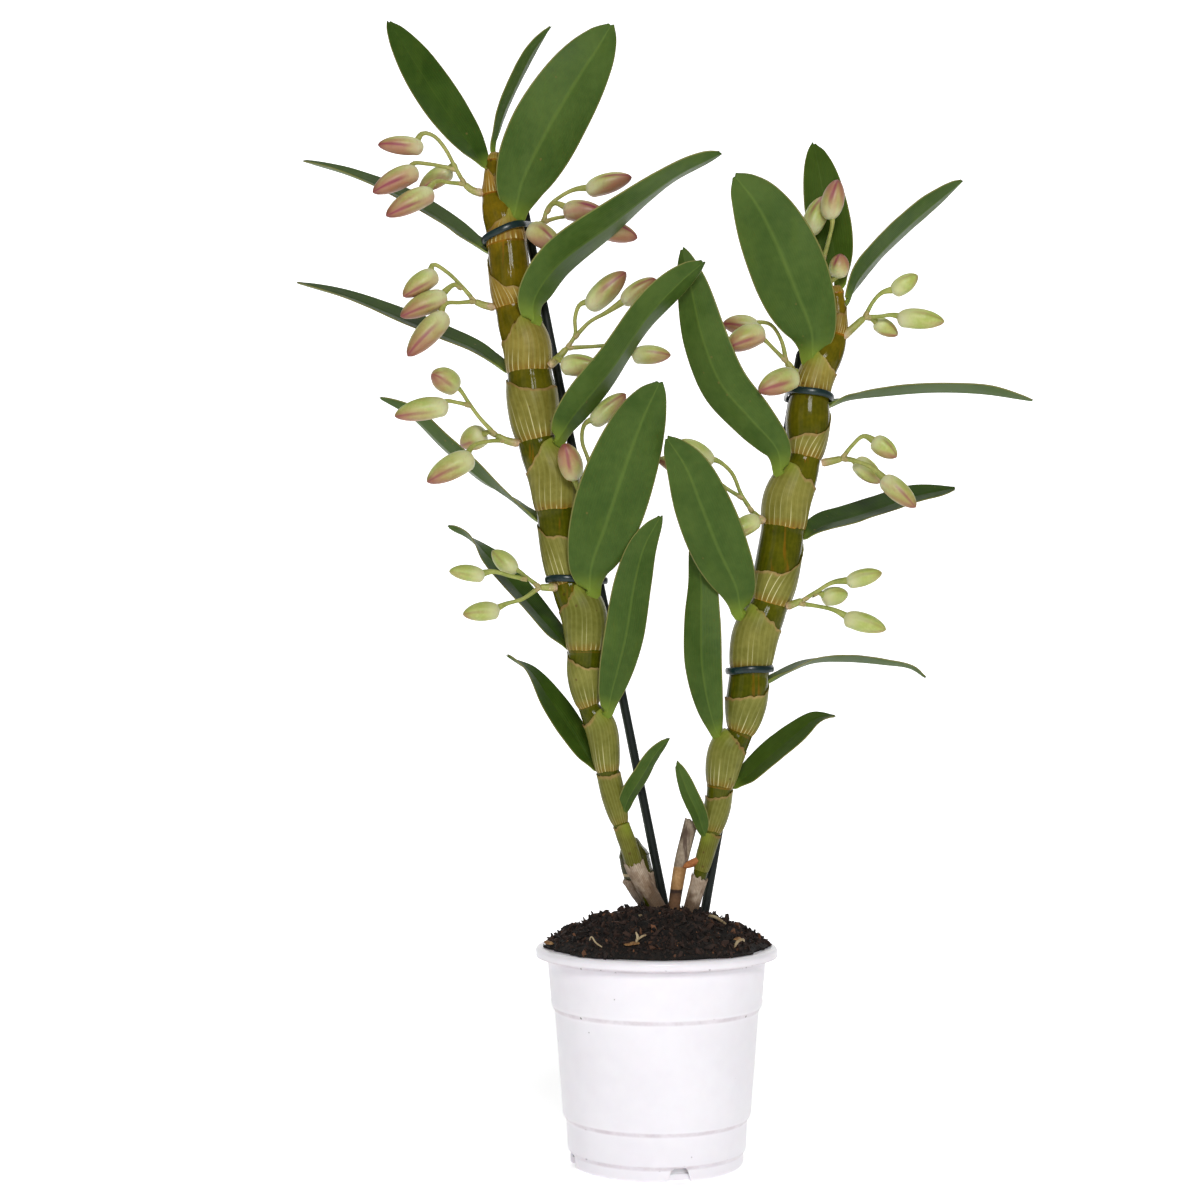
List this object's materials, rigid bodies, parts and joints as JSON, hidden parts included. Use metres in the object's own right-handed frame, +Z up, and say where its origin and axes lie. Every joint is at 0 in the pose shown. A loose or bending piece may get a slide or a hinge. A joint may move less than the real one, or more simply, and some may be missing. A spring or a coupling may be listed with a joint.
{
  "type": "potted dendrobium orchid",
  "caption": "Staked dendrobium orchid in bud, with jointed canes, strap leaves and sprays of buds, growing in bark mix in a stepped white nursery pot.",
  "frame": {"origin": "middle of the pot's underside, on the surface that it stands on", "axes": "+Z up, -Y towards the front of the plant, +X to the viewer's right"},
  "size_m": [0.3872, 0.12, 0.5782],
  "materials": {
    "pot": "moulded white plastic, soft gloss, slightly see-through at the rim",
    "mix": "damp dark bark and fibre, rough",
    "cane": "waxy olive stem with papery ribbed sheaths and glossy amber bare rings",
    "leaf": "leathery green blade, satin above and duller below",
    "bud": "waxy yellow-green bud with a rose flush towards the tip",
    "stake": "near-black green plastic coating, satin",
    "tie": "soft dark teal plastic band with a wet shine",
    "bulb": "glossy olive old bulb with dry papery sheaths",
    "stub": "dry grey-beige stub, cracked and flaking"
  },
  "bodies": {
    "root": {"pot": "pot", "potting_mix": "mix", "cane_left": "cane", "cane_right": "cane", "stake_left": "stake", "stake_right": "stake", "old_bulb": "bulb", "dry_stub": "stub", "leaf_left_01": "leaf", "leaf_left_02": "leaf", "leaf_left_03": "leaf", "leaf_left_04": "leaf", "leaf_left_05": "leaf", "leaf_left_06": "leaf", "leaf_left_07": "leaf", "leaf_left_08": "leaf", "leaf_left_09": "leaf", "leaf_left_10": "leaf", "leaf_left_11": "leaf", "leaf_left_12": "leaf", "leaf_left_13": "leaf", "leaf_right_01": "leaf", "leaf_right_02": "leaf", "leaf_right_03": "leaf", "leaf_right_04": "leaf", "leaf_right_05": "leaf", "leaf_right_06": "leaf", "leaf_right_07": "leaf", "leaf_right_08": "leaf", "leaf_right_09": "leaf", "leaf_right_10": "leaf", "leaf_right_11": "leaf", "spray_left_01": "bud", "spray_left_02": "bud", "spray_left_03": "bud", "spray_left_04": "bud", "spray_left_05": "bud", "spray_left_06": "bud", "spray_left_07": "bud", "spray_right_01": "bud", "spray_right_02": "bud", "spray_right_03": "bud", "spray_right_04": "bud", "spray_right_05": "bud", "spray_right_06": "bud", "tie_left_lower": "tie", "tie_left_upper": "tie", "tie_right_lower": "tie", "tie_right_upper": "tie"}
  },
  "joints": []
}
